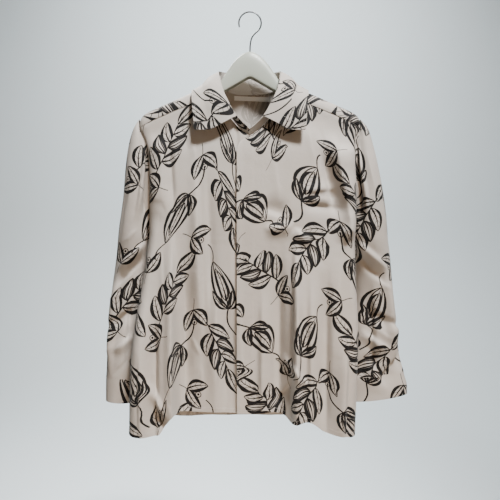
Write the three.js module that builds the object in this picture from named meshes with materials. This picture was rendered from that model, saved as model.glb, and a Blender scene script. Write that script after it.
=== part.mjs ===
// A long-sleeved printed shirt on a broad moulded hanger with a wire hook.
// Millimetres. The origin is the inside top of the hook. X runs to the right of a person who
// faces the shirt's front, -Y points at that person and Z points up.
// "down" is a distance below the origin and "out" is a distance from the centre line.

import * as THREE from "three";

// Driving sizes
const clothThick = 1.2;
const seamGap = 0.3;
const shoulderSeam = 1.05;
const halfSeam = seamGap / 2;
const underarmDown = 458;
const ridgeTurn = 30;
const yokeBackDown = 268;
const neckHalfWidth = 72;
const shoulderReach = 222;
const tipReach = 214;
const backHem = 832;
const lapOver = 26;
const lapUnder = 12;
const lapLift = 2.3;
const lapFade = 70;
const armholeStep = clothThick + 3 * seamGap;
const wireRadius = 1.6;
const hookRadius = 23;

// The sides of the body, one row for each level: the half width at the side edge, the radius
// of the roll there, the depth of the front and the back beside it, the depth of the side
// seam, and half the armhole's opening. The left side is the viewer's left.
const leftSideRows = [
  { down: 226, wide: 225, roll: 12, front: -24, back: 20, backRoll: 14, seam: 0, slit: 12 },
  { down: 242, wide: 222, roll: 12, front: -26, back: 22, backRoll: 14, seam: 0, slit: 14 },
  { down: 266, wide: 209, roll: 12, front: -32, back: 25, backRoll: 16, seam: 0, slit: 16 },
  { down: 304, wide: 202.5, roll: 12, front: -38, back: 27, backRoll: 18, seam: 0, slit: 18 },
  { down: 380, wide: 201, roll: 12, front: -42, back: 26, backRoll: 20, seam: -1, slit: 14 },
  { down: 430, wide: 203, roll: 13, front: -44, back: 23, backRoll: 22, seam: -3, slit: 6 },
  { down: 458, wide: 204, roll: 14, front: -46, back: 20, backRoll: 26, seam: -5, slit: 0.35 },
  { down: 545, wide: 214, roll: 18, front: -52, back: 12, backRoll: 44, seam: -18, slit: 0.35 },
  { down: 643, wide: 229, roll: 20, front: -58, back: 6, backRoll: 56, seam: -30, slit: 0.35 },
  { down: 740, wide: 237, roll: 20, front: -62, back: 2, backRoll: 60, seam: -37, slit: 0.35 },
  { down: 850, wide: 238, roll: 20, front: -64, back: 0, backRoll: 60, seam: -40, slit: 0.35 },
];
const rightSideRows = [
  { down: 226, wide: 225, roll: 14, front: -24, back: 20, backRoll: 14, seam: 0, slit: 12 },
  { down: 242, wide: 222, roll: 18, front: -27, back: 22, backRoll: 14, seam: 0, slit: 14 },
  { down: 266, wide: 211, roll: 26, front: -34, back: 25, backRoll: 16, seam: 0, slit: 14 },
  { down: 310, wide: 210, roll: 28, front: -40, back: 27, backRoll: 18, seam: 0, slit: 15 },
  { down: 380, wide: 214, roll: 20, front: -44, back: 26, backRoll: 20, seam: -1, slit: 12 },
  { down: 430, wide: 213, roll: 14, front: -46, back: 23, backRoll: 22, seam: -3, slit: 5 },
  { down: 458, wide: 211, roll: 14, front: -47, back: 20, backRoll: 26, seam: -5, slit: 0.35 },
  { down: 545, wide: 212, roll: 18, front: -52, back: 12, backRoll: 44, seam: -18, slit: 0.35 },
  { down: 643, wide: 215, roll: 20, front: -57, back: 6, backRoll: 56, seam: -29, slit: 0.35 },
  { down: 740, wide: 212, roll: 20, front: -60, back: 2, backRoll: 58, seam: -34, slit: 0.35 },
  { down: 850, wide: 207, roll: 20, front: -62, back: 0, backRoll: 58, seam: -37, slit: 0.35 },
];

// Depth of the centre front and the centre back at each level
const centreRows = [
  { down: 170, front: -28, back: 29 },
  { down: 240, front: -40, back: 28 },
  { down: 300, front: -47, back: 30 },
  { down: 400, front: -49, back: 32 },
  { down: 500, front: -43, back: 33 },
  { down: 620, front: -36, back: 31 },
  { down: 720, front: -31, back: 29 },
  { down: 850, front: -28, back: 25 },
];

// The shoulder ridge, the front neckline and the hem, by distance from the centre line
const ridgeRows = [
  { out: 0, down: 139 },
  { out: 72, down: 147 },
  { out: 114, down: 165 },
  { out: 150, down: 181 },
  { out: 183, down: 196 },
  { out: 206, down: 206.5 },
  { out: 218, down: 214 },
  { out: 226, down: 222 },
];
const necklineRows = [
  { out: -26, down: 288 },
  { out: -20, down: 275 },
  { out: -10, down: 267 },
  { out: 0, down: 262 },
  { out: 22, down: 244 },
  { out: 42, down: 218 },
  { out: 60, down: 193 },
  { out: 72, down: 177 },
];
const hemRows = [
  { x: -238, down: 846 },
  { x: -200, down: 850 },
  { x: -166, down: 847 },
  { x: -150, down: 826 },
  { x: -134, down: 809 },
  { x: -60, down: 811 },
  { x: 0, down: 814 },
  { x: 40, down: 811 },
  { x: 70, down: 815 },
  { x: 88, down: 827 },
  { x: 117, down: 821 },
  { x: 154, down: 841 },
  { x: 207, down: 850 },
];

// The yoke's columns from the centre out: where each starts, round the neck hole and then
// along the front seam, and where it meets the back seam
const yokeRows = [
  { column: 0, top: 0, start: 1.85, bottom: 0 },
  { column: 1, top: 24, start: 1.8, bottom: 16 },
  { column: 2, top: 45, start: 1.66, bottom: 32 },
  { column: 3, top: 60, start: 1.45, bottom: 46 },
  { column: 4, top: 68.5, start: 1.22, bottom: 59 },
  { column: 5, top: 72, start: 1, bottom: 71 },
  { column: 6, top: 72, start: 0.66, bottom: 83 },
  { column: 7, top: 72, start: 0.33, bottom: 95 },
  { column: 8, top: 72, start: 0, bottom: 107 },
  { column: 9, top: 92, start: 0, bottom: 121 },
  { column: 10, top: 113, start: 0, bottom: 136 },
  { column: 11, top: 135, start: 0, bottom: 152 },
  { column: 12, top: 157, start: 0, bottom: 169 },
  { column: 13, top: 179, start: 0, bottom: 187 },
  { column: 14, top: 202, start: 0, bottom: 205 },
  { column: 15, top: 222, start: 0, bottom: 222 },
];
const neckColumns = 8;

// Where each deep fold divides the hanging centre of the front from its forward sides
const deepFolds = {
  left: { out: 148, wide: 9, top: 440, full: 620 },
  right: { out: 80, wide: 7, top: 430, full: 560 },
};

// Creases of the front, from one end to the other. "high" is towards the viewer.
const frontCreases = [
  { x1: -106, down1: 300, x2: -94, down2: 672, wide: 9, high: 4 },
  { x1: -88, down1: 310, x2: -78, down2: 650, wide: 9, high: -3 },
  { x1: -154, down1: 470, x2: -152, down2: 880, wide: 9, high: 7 },
  { x1: -132, down1: 500, x2: -128, down2: 850, wide: 12, high: -6 },
  { x1: -212, down1: 560, x2: -208, down2: 880, wide: 13, high: 6 },
  { x1: -186, down1: 600, x2: -184, down2: 880, wide: 12, high: -7 },
  { x1: -182, down1: 250, x2: -170, down2: 430, wide: 13, high: 4 },
  { x1: -160, down1: 260, x2: -150, down2: 400, wide: 13, high: -3 },
  { x1: -200, down1: 745, x2: -158, down2: 812, wide: 9, high: 5 },
  { x1: -70, down1: 520, x2: -72, down2: 840, wide: 12, high: 4 },
  { x1: -46, down1: 560, x2: -50, down2: 840, wide: 13, high: -4 },
  { x1: 88, down1: 450, x2: 86, down2: 870, wide: 8, high: 7 },
  { x1: 62, down1: 470, x2: 58, down2: 860, wide: 15, high: -9 },
  { x1: 30, down1: 560, x2: 26, down2: 850, wide: 14, high: 4 },
  { x1: 28, down1: 448, x2: 84, down2: 446, wide: 11, high: 6 },
  { x1: 84, down1: 446, x2: 118, down2: 470, wide: 9, high: 5 },
  { x1: 22, down1: 402, x2: 72, down2: 422, wide: 14, high: -6 },
  { x1: 172, down1: 246, x2: 200, down2: 404, wide: 10, high: 6 },
  { x1: 150, down1: 290, x2: 176, down2: 410, wide: 13, high: -4 },
  { x1: 206, down1: 400, x2: 190, down2: 470, wide: 11, high: 7 },
  { x1: 96, down1: 396, x2: 184, down2: 402, wide: 8, high: -4 },
  { x1: 92, down1: 372, x2: 176, down2: 366, wide: 9, high: 3 },
  { x1: 150, down1: 520, x2: 146, down2: 870, wide: 15, high: -6 },
  { x1: 120, down1: 540, x2: 118, down2: 850, wide: 12, high: 4 },
  { x1: 188, down1: 640, x2: 176, down2: 880, wide: 13, high: 6 },
];

// Creases of the back. "high" is away from the viewer.
const backCreases = [
  { x1: -168, down1: 300, x2: -150, down2: 520, wide: 15, high: 5 },
  { x1: -150, down1: 560, x2: -156, down2: 880, wide: 15, high: 8 },
  { x1: -120, down1: 520, x2: -122, down2: 880, wide: 14, high: -6 },
  { x1: -84, down1: 330, x2: -78, down2: 880, wide: 16, high: 7 },
  { x1: -46, down1: 420, x2: -42, down2: 880, wide: 15, high: -6 },
  { x1: -8, down1: 300, x2: 2, down2: 860, wide: 16, high: 5 },
  { x1: 36, down1: 470, x2: 44, down2: 880, wide: 15, high: -7 },
  { x1: 80, down1: 340, x2: 84, down2: 880, wide: 16, high: 8 },
  { x1: 118, down1: 560, x2: 124, down2: 880, wide: 13, high: -5 },
  { x1: 158, down1: 310, x2: 146, down2: 540, wide: 15, high: 5 },
  { x1: 156, down1: 600, x2: 160, down2: 880, wide: 14, high: 7 },
  { x1: -176, down1: 452, x2: -60, down2: 408, wide: 12, high: -4 },
  { x1: 176, down1: 448, x2: 66, down2: 410, wide: 12, high: -4 },
];

// The sleeves, one row for each ring from the shoulder tip to the cuff's seam: the level of
// the ring's ends at the armhole and of its outer side, the distances from the centre line of
// its outer and inner sides, the depth of its middle, half its depth, and its rise outwards.
const leftSleeveRows = [
  { down: 243, outerDown: 220, outer: 226.5, inner: 224, depth: 0, half: 13, rise: 0 },
  { down: 262, outerDown: 238, outer: 237, inner: 214, depth: 1, half: 25, rise: 0 },
  { down: 290, outerDown: 270, outer: 247, inner: 207, depth: 2, half: 32, rise: 0 },
  { down: 330, outerDown: 318, outer: 254, inner: 204, depth: 3, half: 38, rise: 0 },
  { down: 380, outerDown: 375, outer: 259, inner: 205, depth: 5, half: 41, rise: 0 },
  { down: 425, outerDown: 424, outer: 266, inner: 207, depth: 7, half: 41, rise: 0 },
  { down: 460, outerDown: 460, outer: 271, inner: 207, depth: 10, half: 41, rise: 0 },
  { down: 500, outerDown: 500, outer: 277, inner: 211, depth: 20, half: 41, rise: 0 },
  { down: 560, outerDown: 560, outer: 287, inner: 213, depth: 29, half: 41, rise: 0 },
  { down: 640, outerDown: 640, outer: 297, inner: 215, depth: 34, half: 41, rise: 0 },
  { down: 700, outerDown: 700, outer: 302, inner: 217, depth: 35, half: 40, rise: 0 },
  { down: 752, outerDown: 752, outer: 303, inner: 222, depth: 34, half: 35, rise: 0 },
];
const rightSleeveRows = [
  { down: 243, outerDown: 220, outer: 225.5, inner: 223, depth: 0, half: 13, rise: 0 },
  { down: 262, outerDown: 238, outer: 240, inner: 217, depth: 1, half: 25, rise: 0 },
  { down: 290, outerDown: 272, outer: 251, inner: 213, depth: 2, half: 32, rise: 0 },
  { down: 330, outerDown: 318, outer: 262, inner: 214, depth: 3, half: 38, rise: 0 },
  { down: 380, outerDown: 375, outer: 273, inner: 217, depth: 5, half: 41, rise: 0 },
  { down: 425, outerDown: 424, outer: 279, inner: 217, depth: 7, half: 41, rise: 0 },
  { down: 460, outerDown: 460, outer: 282, inner: 215, depth: 10, half: 41, rise: 0 },
  { down: 500, outerDown: 500, outer: 290, inner: 215, depth: 20, half: 41, rise: 0 },
  { down: 560, outerDown: 560, outer: 298, inner: 215, depth: 29, half: 40, rise: 0 },
  { down: 640, outerDown: 640, outer: 306, inner: 214, depth: 34, half: 38, rise: 0 },
  { down: 700, outerDown: 700, outer: 315, inner: 212, depth: 35, half: 34, rise: 0.04 },
  { down: 748, outerDown: 748, outer: 324, inner: 211, depth: 32, half: 28, rise: 0.1 },
];
const leftCuff = { height: 50, outer: 303, inner: 226, depth: 33, half: 33, rise: 0 };
const rightCuff = { height: 48, outer: 330, inner: 212, depth: 30, half: 25, rise: 0.14 };

// Creases of a sleeve. "turn" runs once round it, from the inner side by way of the front.
const sleeveCreases = [
  { turn1: 0.1, down1: 300, turn2: 0.2, down2: 440, wide: 11, high: 4 },
  { turn1: 0.08, down1: 470, turn2: 0.34, down2: 520, wide: 11, high: 4 },
  { turn1: 0.2, down1: 540, turn2: 0.22, down2: 740, wide: 12, high: -5 },
  { turn1: 0.34, down1: 520, turn2: 0.36, down2: 748, wide: 12, high: 5 },
  { turn1: 0.14, down1: 600, turn2: 0.42, down2: 646, wide: 12, high: -4 },
  { turn1: 0.44, down1: 640, turn2: 0.46, down2: 750, wide: 10, high: -4 },
  { turn1: 0.6, down1: 300, turn2: 0.58, down2: 520, wide: 14, high: 4 },
  { turn1: 0.66, down1: 520, turn2: 0.68, down2: 748, wide: 12, high: -5 },
  { turn1: 0.8, down1: 430, turn2: 0.78, down2: 746, wide: 13, high: 5 },
];
const sleeveGirth = 260;

// The collar, one row for each section from the centre front to the centre back: the roll
// line, and the free edge of the fall
const collarRows = [
  { at: 0, roll: [-4, -48.5, -253], edge: [22, -56, -236] },
  { at: 0.14, roll: [25, -53, -226], edge: [107, -60, -253] },
  { at: 0.28, roll: [41, -52, -199], edge: [111, -57, -222] },
  { at: 0.42, roll: [53, -45, -171], edge: [114.5, -46, -188] },
  { at: 0.5, roll: [59, -28, -145], edge: [117, -22, -166] },
  { at: 0.58, roll: [62, -8, -126], edge: [116.5, 6, -161] },
  { at: 0.7, roll: [59, 14, -118], edge: [106, 32, -171] },
  { at: 0.84, roll: [40, 32, -115], edge: [70, 43, -182] },
  { at: 1, roll: [0, 38, -114], edge: [0, 47, -186] },
];
const neckFrontShare = 6 / 14;
const standInset = 1.9;
const fallStart = 0.14;
const rollHeight = 5;
const rollDepth = 1.8;
const leafSag = 6;

// The hanger by distance from the centre line, and its wire hook
const hangerRows = [
  { out: 0, top: 78, bottom: 133, half: 9 },
  { out: 10, top: 80.5, bottom: 138.8, half: 9 },
  { out: 20, top: 87, bottom: 144.6, half: 9 },
  { out: 30, top: 96, bottom: 150.3, half: 9 },
  { out: 40, top: 109, bottom: 156, half: 9 },
  { out: 50, top: 124, bottom: 162, half: 9.5 },
  { out: 58, top: 137, bottom: 166.5, half: 9.5 },
  { out: 66, top: 147.6, bottom: 171, half: 9.5 },
  { out: 90, top: 157, bottom: 184, half: 11 },
  { out: 120, top: 170.2, bottom: 198, half: 12.5 },
  { out: 150, top: 183.6, bottom: 210, half: 14 },
  { out: 180, top: 197.2, bottom: 222, half: 14.5 },
  { out: 200, top: 207.4, bottom: 230, half: 12.5 },
  { out: 208, top: 214, bottom: 232, half: 9 },
];

// The hanger's section, as shares of its half depth and its height: round above, with a flat
// front and a flat underside
const hangerSection = [
  { across: 0, up: 1 },
  { across: 0.5, up: 0.93 },
  { across: 0.83, up: 0.77 },
  { across: 0.97, up: 0.52 },
  { across: 1, up: 0.2 },
  { across: 0.98, up: 0.04 },
  { across: 0.88, up: 0 },
];

// Colours
const clothFront = { color: 0xc4bfb6, roughness: 0.62 };
const clothCuff = { color: 0xbdb7ae, roughness: 0.62 };
const clothCollar = { color: 0xcacbc9, roughness: 0.6 };
const tapeWhite = { color: 0xd9dbda, roughness: 0.7 };
const hangerCream = { color: 0xc9cabd, roughness: 0.45 };
const wireDark = { color: 0x3a3d3f, roughness: 0.35, metalness: 0.9 };

function smooth(value) {
  const part = Math.min(1, Math.max(0, value));
  return part * part * (3 - 2 * part);
}

function blend(from, to, part) {
  return from + (to - from) * part;
}

// Reads a column of a table at any place, on a smooth curve that never overshoots its rows.
function readTable(rows, by, value, column) {
  const last = rows.length - 1;
  if (value <= rows[0][by]) return rows[0][column];
  if (value >= rows[last][by]) return rows[last][column];
  let low = 0;
  while (rows[low + 1][by] < value) low += 1;
  const slopeAfter = (k) => (rows[k + 1][column] - rows[k][column]) / (rows[k + 1][by] - rows[k][by]);
  const slopeAt = (k) => {
    if (k === 0) return slopeAfter(0);
    if (k === last) return slopeAfter(last - 1);
    const before = slopeAfter(k - 1);
    const after = slopeAfter(k);
    return before * after <= 0 ? 0 : (2 * before * after) / (before + after);
  };
  const span = rows[low + 1][by] - rows[low][by];
  const part = (value - rows[low][by]) / span;
  const rise = rows[low + 1][column] - rows[low][column];
  const start = slopeAt(low) * span;
  const end = slopeAt(low + 1) * span;
  const bend = part * (1 - part) * (start * (1 - part) - end * part);
  return rows[low][column] + rise * smooth(part) + bend;
}

// The height of a crease at a place: full along its middle, gone at its ends.
function creaseHeight(x, down, fromX, fromDown, toX, toDown, wide, high) {
  const runX = toX - fromX;
  const runDown = toDown - fromDown;
  const along = ((x - fromX) * runX + (down - fromDown) * runDown) / (runX ** 2 + runDown ** 2);
  if (along <= 0 || along >= 1) return 0;
  const away = Math.hypot(x - fromX - along * runX, down - fromDown - along * runDown);
  const ends = smooth(along / 0.25) * smooth((1 - along) / 0.25);
  return high * ends * Math.exp(-((away / wide) ** 2));
}

function panelCreases(creases, x, down) {
  let height = 0;
  for (const c of creases) {
    height += creaseHeight(x, down, c.x1, c.down1, c.x2, c.down2, c.wide, c.high);
  }
  return height;
}

// Depth of the front where it hangs flat, before its roll at the side
function frontDepth(x, down) {
  const left = x < 0;
  const rows = left ? leftSideRows : rightSideRows;
  const fold = left ? deepFolds.left : deepFolds.right;
  const centre = readTable(centreRows, "down", down, "front");
  const side = readTable(rows, "down", down, "front");
  const wide = readTable(rows, "down", down, "wide");
  const folded = smooth((down - fold.top) / (fold.full - fold.top));
  const even = (Math.abs(x) / wide) ** 2;
  const stepped = smooth((Math.abs(x) - fold.out) / (2 * fold.wide) + 0.5);
  const hung = blend(centre, side, blend(even, stepped, folded));
  const ridge = readTable(ridgeRows, "out", Math.abs(x), "down");
  const below = smooth((down - ridge - ridgeTurn) / 70);
  const top = -28;
  return blend(Math.max(top, hung), hung, below) - below * panelCreases(frontCreases, x, down);
}

function backDepth(x, down) {
  const rows = x < 0 ? leftSideRows : rightSideRows;
  const centre = readTable(centreRows, "down", down, "back");
  const side = readTable(rows, "down", down, "back");
  const wide = readTable(rows, "down", down, "wide");
  const hung = blend(centre, side, (Math.abs(x) / wide) ** 2);
  const below = smooth((down - yokeBackDown) / 60);
  return hung + below * panelCreases(backCreases, x, down);
}

// A point of a panel. "side" is -1 or 1, and "reach" is measured over the cloth from the
// centre line: flat first, then round the roll to the side edge.
function panelPoint(side, part, start, down, isFront) {
  const rows = side < 0 ? leftSideRows : rightSideRows;
  const wide = readTable(rows, "down", down, "wide");
  const roll = readTable(rows, "down", down, isFront ? "roll" : "backRoll");
  const slit = Math.max(halfSeam, readTable(rows, "down", down, "slit"));
  const seam = readTable(rows, "down", down, "seam") + (isFront ? -slit : slit);
  const depthAt = isFront ? frontDepth : backDepth;
  const flat = wide - roll;
  const flatDepth = depthAt(side * flat, down);
  const quarter = (Math.PI / 2) * Math.sqrt((roll ** 2 + (flatDepth - seam) ** 2) / 2);
  const reach = blend(start, flat + quarter, part);
  if (reach <= flat) return new THREE.Vector3(side * reach, depthAt(side * reach, down), -down);
  const angle = ((reach - flat) / quarter) * (Math.PI / 2);
  const x = side * (flat + roll * Math.sin(angle));
  return new THREE.Vector3(x, seam + (flatDepth - seam) * Math.cos(angle), -down);
}

function hemDown(x) {
  return readTable(hemRows, "x", x, "down");
}

function backHemDown(x) {
  return blend(backHem, hemDown(x), smooth((Math.abs(x) - 170) / 50));
}

function frontTopDown(out) {
  if (out < neckHalfWidth) return readTable(necklineRows, "out", out, "down");
  return readTable(ridgeRows, "out", out, "down") + ridgeTurn;
}

// A front, from its lapped edge to the side seam and from the neck and shoulder to the hem
function frontPoint(side, start, part, low) {
  const guessOut = Math.min(220, blend(start, shoulderReach, part));
  const top = frontTopDown(Math.min(guessOut, tipReach));
  const hem = hemDown(side * Math.min(guessOut * 1.06, 238));
  const point = panelPoint(side, part, start, blend(top, hem, low), true);
  const lift = start < -lapUnder ? lapLift * smooth((lapFade - Math.abs(point.x)) / 30) : 0;
  point.y -= lift;
  return point;
}

// The back below the yoke, from one side seam to the other
function backPoint(across, low) {
  const side = across < 0.5 ? -1 : 1;
  const part = Math.abs(across - 0.5) * 2;
  const hem = backHemDown(side * Math.min(part * 250, 238));
  return panelPoint(side, part, 0, blend(yokeBackDown, hem, low), false);
}

// The surface over a shoulder. "way" is 0 at the front seam, 1 on the ridge, 2 where the back
// begins to hang straight and 3 at the back seam.
function yokeSurface(side, out, way) {
  const part = out / shoulderReach;
  const frontDown = frontTopDown(Math.min(tipReach, Math.max(out, neckHalfWidth))) - shoulderSeam;
  const front = panelPoint(side, part, 0, frontDown, true);
  const back = panelPoint(side, part, 0, yokeBackDown - seamGap, false);
  const ridgeOut = (Math.abs(front.x) + Math.abs(back.x)) / 2;
  const ridge = readTable(ridgeRows, "out", ridgeOut, "down");
  const turned = Math.min(ridgeTurn, -back.z - ridge - 1);
  if (way < 1) {
    const angle = (1 - way) * (Math.PI / 2);
    const x = blend(side * ridgeOut, front.x, Math.sin(angle));
    const drop = (-front.z - ridge) * (1 - Math.cos(angle));
    return new THREE.Vector3(x, front.y * Math.sin(angle), -ridge - drop);
  }
  if (way < 2) {
    const angle = (way - 1) * (Math.PI / 2);
    const x = blend(side * ridgeOut, back.x, Math.sin(angle));
    return new THREE.Vector3(x, back.y * Math.sin(angle), -ridge - turned * (1 - Math.cos(angle)));
  }
  return new THREE.Vector3(back.x, back.y, blend(-ridge - turned, back.z, way - 2));
}

function yokePoint(across, low) {
  const side = across < 0.5 ? -1 : 1;
  const column = Math.abs(across - 0.5) * 2 * yokeRows[yokeRows.length - 1].column;
  const read = (name) => readTable(yokeRows, "column", column, name);
  const out = blend(read("top"), read("bottom"), low);
  return yokeSurface(side, out, blend(read("start"), 3, low));
}

// The edge of the neck hole, from the centre front over the shoulder to the centre back
function neckEdge(side, at) {
  if (at < neckFrontShare) {
    const out = (neckHalfWidth * at) / neckFrontShare;
    const down = frontTopDown(out);
    return new THREE.Vector3(side * out, frontDepth(side * out, down), -down);
  }
  const column = (neckColumns * (1 - at)) / (1 - neckFrontShare);
  const out = readTable(yokeRows, "column", column, "top");
  return yokeSurface(side, out, readTable(yokeRows, "column", column, "start"));
}

// A ring of a sleeve or cuff, before its ends are drawn to the armhole
function ringPoint(side, ring, turn, thin) {
  const middle = (ring.outer + ring.inner) / 2;
  const halfWide = (ring.outer - ring.inner) / 2 - thin;
  const angle = 2 * Math.PI * turn;
  const offset = -halfWide * Math.cos(angle);
  const y = ring.depth - (ring.half - thin) * Math.sin(angle);
  const z = -blend(ring.down, ring.outerDown, Math.sin(Math.PI * turn) ** 2) + ring.rise * offset;
  return new THREE.Vector3(side * (middle + offset), y, z);
}

function sleevePoint(side, rows, turn, low) {
  const down = blend(rows[0].down, rows[rows.length - 1].down - seamGap, low ** 0.9);
  const ring = { down };
  for (const column of ["outerDown", "outer", "inner", "depth", "half", "rise"]) {
    ring[column] = readTable(rows, "down", down, column);
  }
  const nearTurn = Math.min(0.9985, Math.max(0.0015, turn));
  const point = ringPoint(side, ring, nearTurn, 0);
  let height = 0;
  for (const c of sleeveCreases) {
    const from = c.turn1 * sleeveGirth;
    const to = c.turn2 * sleeveGirth;
    height += creaseHeight(turn * sleeveGirth, down, from, c.down1, to, c.down2, c.wide, c.high);
  }
  height *= smooth(Math.min(turn, 1 - turn) / 0.08);
  const middle = (ring.outer + ring.inner) / 2;
  const away = new THREE.Vector2(Math.abs(point.x) - middle, point.y - ring.depth).normalize();
  point.x += side * away.x * height;
  point.y += away.y * height;
  const toEnd = Math.min(turn, 1 - turn);
  const pull = Math.max(0, 1 - toEnd / 0.2) ** 2 * smooth((underarmDown + 12 - down) / 12);
  const sides = side < 0 ? leftSideRows : rightSideRows;
  const slit = Math.max(halfSeam, readTable(sides, "down", down, "slit"));
  const seam = readTable(sides, "down", down, "seam") + (turn < 0.5 ? -slit : slit);
  const edge = readTable(sides, "down", down, "wide") + armholeStep;
  const end = ringPoint(side, ring, turn < 0.5 ? 0.0015 : 0.9985, 0);
  point.x += (side * edge - end.x) * pull;
  point.y += (seam - end.y) * pull;
  return point;
}

function cuffPoint(side, rows, cuff, turn, low) {
  const seam = rows[rows.length - 1];
  const ring = { down: seam.down + cuff.height * low };
  ring.outerDown = ring.down;
  for (const column of ["outer", "inner", "depth", "half", "rise"]) {
    ring[column] = blend(seam[column], cuff[column], smooth(low * 1.4));
  }
  return ringPoint(side, ring, blend(0.002, 0.998, turn), 0);
}

// The collar's rows as curves, mirrored for the wearer's other side
function collarPoint(across, line) {
  const side = across < 0.5 ? -1 : 1;
  const at = 1 - Math.abs(across - 0.5) * 2;
  const rows = collarRows.map((row) => {
    const [x, y, z] = row[line];
    return { at: row.at, x, y, z };
  });
  const read = (column) => readTable(rows, "at", at, column);
  const front = smooth((0.16 - at) / 0.16);
  return new THREE.Vector3(side * read("x"), read("y") - side * front * 1.1, read("z"));
}

// The stand rises from just inside the neck hole's edge to the roll line.
function standPoint(across, up) {
  const side = across < 0.5 ? -1 : 1;
  const at = 1 - Math.abs(across - 0.5) * 2;
  const neck = neckEdge(side, at);
  const inward = new THREE.Vector3(-neck.x, -neck.y, 0).normalize();
  neck.addScaledVector(inward, standInset);
  return neck.lerp(collarPoint(across, "roll"), up);
}

function fallPoint(across, low) {
  const half = (1 - fallStart) / 2;
  const place = 0.5 + (across - 0.5) * 2 * half;
  const roll = collarPoint(place, "roll");
  const edge = collarPoint(place, "edge");
  const over = Math.sin(Math.PI * Math.min(1, low * 1.6)) * rollHeight;
  const away = new THREE.Vector3(roll.x, roll.y, 0).normalize();
  const lifted = roll.clone().addScaledVector(away, rollDepth);
  lifted.z += rollDepth;
  const point = lifted.lerp(edge, low);
  const toFront = smooth((0.34 - (1 - Math.abs(place - 0.5) * 2)) / 0.2);
  point.z -= leafSag * toFront * Math.sin(Math.PI * low);
  return point.addScaledVector(away, over * 0.6).add(new THREE.Vector3(0, 0, over * 0.5));
}

function labelPoint(across, low) {
  const x = blend(-33, 41, across);
  return new THREE.Vector3(x, 26.4 - 0.001 * x * x, -165 - 0.04 * x - 9.5 * low);
}

function signedVolume(positions, index) {
  const a = new THREE.Vector3();
  const b = new THREE.Vector3();
  const c = new THREE.Vector3();
  let volume = 0;
  for (let k = 0; k < index.length; k += 3) {
    a.fromArray(positions, index[k] * 3);
    b.fromArray(positions, index[k + 1] * 3);
    c.fromArray(positions, index[k + 2] * 3);
    volume += a.dot(b.cross(c)) / 6;
  }
  return volume;
}

function makeGeometry(positions, index) {
  if (signedVolume(positions, index) < 0) index.reverse();
  const geometry = new THREE.BufferGeometry();
  geometry.setAttribute("position", new THREE.Float32BufferAttribute(positions, 3));
  geometry.setIndex(index);
  geometry.computeVertexNormals();
  return geometry;
}

// A wall of cloth on a grid of points, half its thickness to each side of them
function makeWall(pointAt, across, down, thick = clothThick) {
  const width = across + 1;
  const middle = [];
  for (let j = 0; j <= down; j += 1) {
    for (let i = 0; i <= across; i += 1) middle.push(pointAt(i / across, j / down));
  }
  const at = (i, j) => middle[j * width + i];
  const outer = [];
  const inner = [];
  for (let j = 0; j <= down; j += 1) {
    for (let i = 0; i <= across; i += 1) {
      const alongRow = at(Math.min(i + 1, across), j).clone().sub(at(Math.max(i - 1, 0), j));
      const downRow = at(i, Math.min(j + 1, down)).clone().sub(at(i, Math.max(j - 1, 0)));
      const normal = alongRow.cross(downRow).normalize();
      outer.push(...at(i, j).clone().addScaledVector(normal, thick / 2).toArray());
      inner.push(...at(i, j).clone().addScaledVector(normal, -thick / 2).toArray());
    }
  }
  const count = middle.length;
  const index = [];
  const addFace = (a, b, c, d) => index.push(a, b, c, a, c, d);
  for (let j = 0; j < down; j += 1) {
    for (let i = 0; i < across; i += 1) {
      const a = j * width + i;
      addFace(a, a + 1, a + width + 1, a + width);
      addFace(a + count, a + width + count, a + width + 1 + count, a + 1 + count);
    }
  }
  for (let i = 0; i < across; i += 1) {
    const low = down * width + i;
    addFace(i + 1, i, i + count, i + 1 + count);
    addFace(low, low + 1, low + 1 + count, low + count);
  }
  for (let j = 0; j < down; j += 1) {
    const near = j * width;
    const far = near + across;
    addFace(near, near + width, near + width + count, near + count);
    addFace(far + width, far, far + count, far + width + count);
  }
  return makeGeometry([...outer, ...inner], index);
}

// A closed skin over a row of rings with the same number of points
function makeLoft(rings) {
  const points = rings[0].length;
  const positions = rings.flat().flatMap((point) => point.toArray());
  const index = [];
  for (let k = 0; k < rings.length - 1; k += 1) {
    for (let i = 0; i < points; i += 1) {
      const a = k * points + i;
      const b = k * points + ((i + 1) % points);
      index.push(a, b, b + points, a, b + points, a + points);
    }
  }
  const last = (rings.length - 1) * points;
  for (let i = 1; i < points - 1; i += 1) {
    index.push(0, i + 1, i);
    index.push(last, last + i, last + i + 1);
  }
  return makeGeometry(positions, index);
}

function makeHanger() {
  const places = [];
  for (const row of hangerRows.slice(1).reverse()) places.push(-row.out);
  for (const row of hangerRows) places.push(row.out);
  const rings = places.map((x) => {
    const read = (column) => readTable(hangerRows, "out", Math.abs(x), column);
    const pointOf = (row, side) => {
      const z = blend(-read("bottom"), -read("top"), row.up);
      return new THREE.Vector3(x, side * read("half") * row.across, z);
    };
    const back = hangerSection.map((row) => pointOf(row, 1));
    const front = hangerSection.slice(1).reverse().map((row) => pointOf(row, -1));
    return [...back, ...front];
  });
  return makeLoft(rings);
}

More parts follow.
